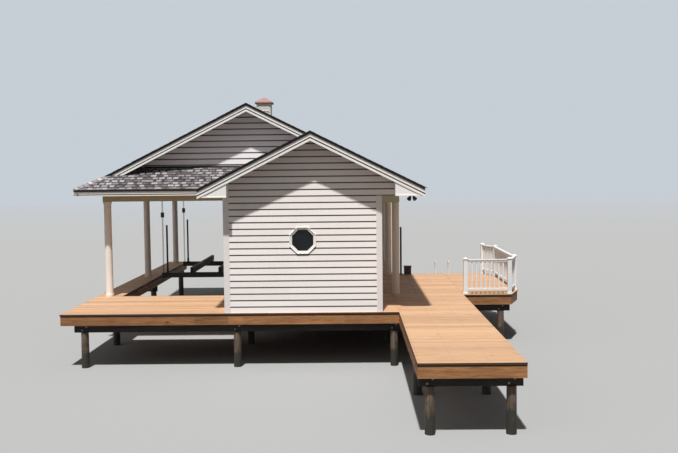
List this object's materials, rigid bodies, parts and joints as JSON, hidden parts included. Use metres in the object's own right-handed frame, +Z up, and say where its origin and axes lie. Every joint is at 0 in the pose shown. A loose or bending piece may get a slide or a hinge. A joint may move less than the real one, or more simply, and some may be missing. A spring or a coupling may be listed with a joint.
{
  "type": "boathouse",
  "caption": "Boathouse on piles: gabled room with octagon window, roofed boat slip with a cable lift, decks, walkway and a railed landing.",
  "frame": {"origin": "middle of the whole outline, level with the feet of the piles", "axes": "+Z up; +Y from the shore end of the walkway to the open water; +X to the right seen from the shore"},
  "size_m": [11.77, 18.21, 7.02],
  "materials": {
    "pile_wood": "weathered, wet at the foot",
    "girder_wood": "dark treated wood",
    "rim_wood": "brown treated wood",
    "deck_boards": "fresh treated pine boards",
    "post_paint": "painted cream, satin",
    "siding": "lap siding, painted off-white",
    "trim_paint": "painted white, satin",
    "window_glass": "clear",
    "door_paint": "painted white, satin",
    "soffit_paint": "painted boards",
    "shingles": "grey-brown granules",
    "cupola_paint": "painted white",
    "cupola_metal": "brown-pink sheet metal",
    "lift_steel": "dark, worn",
    "bunk_carpet": "wood covered in dark carpet",
    "black_plastic": "black pipe",
    "cable_steel": "wire rope",
    "rail_vinyl": "white vinyl",
    "box_plastic": "dark brown",
    "ladder_metal": "white",
    "lamp_metal": "black"
  },
  "bodies": {
    "root": {"piles": "pile_wood", "girders": "girder_wood", "deck_frames": "rim_wood", "front_deck": "deck_boards", "finger_deck": "deck_boards", "dock_deck": "deck_boards", "stern_deck": "deck_boards", "walkway_deck": "deck_boards", "landing_deck": "deck_boards", "roof_posts": "post_paint", "side_beams": "post_paint", "header_beams": "post_paint", "front_wall": "siding", "side_walls": "siding", "back_wall": "siding", "gable_walls": "siding", "corner_boards": "trim_paint", "window_trim": "trim_paint", "eave_fascias": "trim_paint", "rake_boards": "trim_paint", "eave_returns": "trim_paint", "window_glass": "window_glass", "room_door": "door_paint", "ceiling": "soffit_paint", "soffits": "soffit_paint", "roof_right": "shingles", "roof_left": "shingles", "front_roof_left": "shingles", "skirt_roofs": "shingles", "ridge_caps": "shingles", "cupola_body": "cupola_paint", "cupola_roof": "cupola_metal", "hoist_shafts": "lift_steel", "mooring_pole": "black_plastic", "hoist_cables": "cable_steel", "rail_posts": "rail_vinyl", "near_rail": "rail_vinyl", "outer_rail": "rail_vinyl", "corner_rails": "rail_vinyl", "dock_box": "box_plastic", "dock_ladder": "ladder_metal", "floodlight": "lamp_metal"},
    "cradle": {"lift_beams": "lift_steel", "lift_bunks": "bunk_carpet", "guide_poles": "black_plastic"}
  },
  "joints": [
    {"name": "lift", "type": "slide", "parent": "root", "child": "cradle", "axis": [0, 0, -1], "range_m": [0, 1.15], "deforming": ["hoist_cables"]}
  ]
}
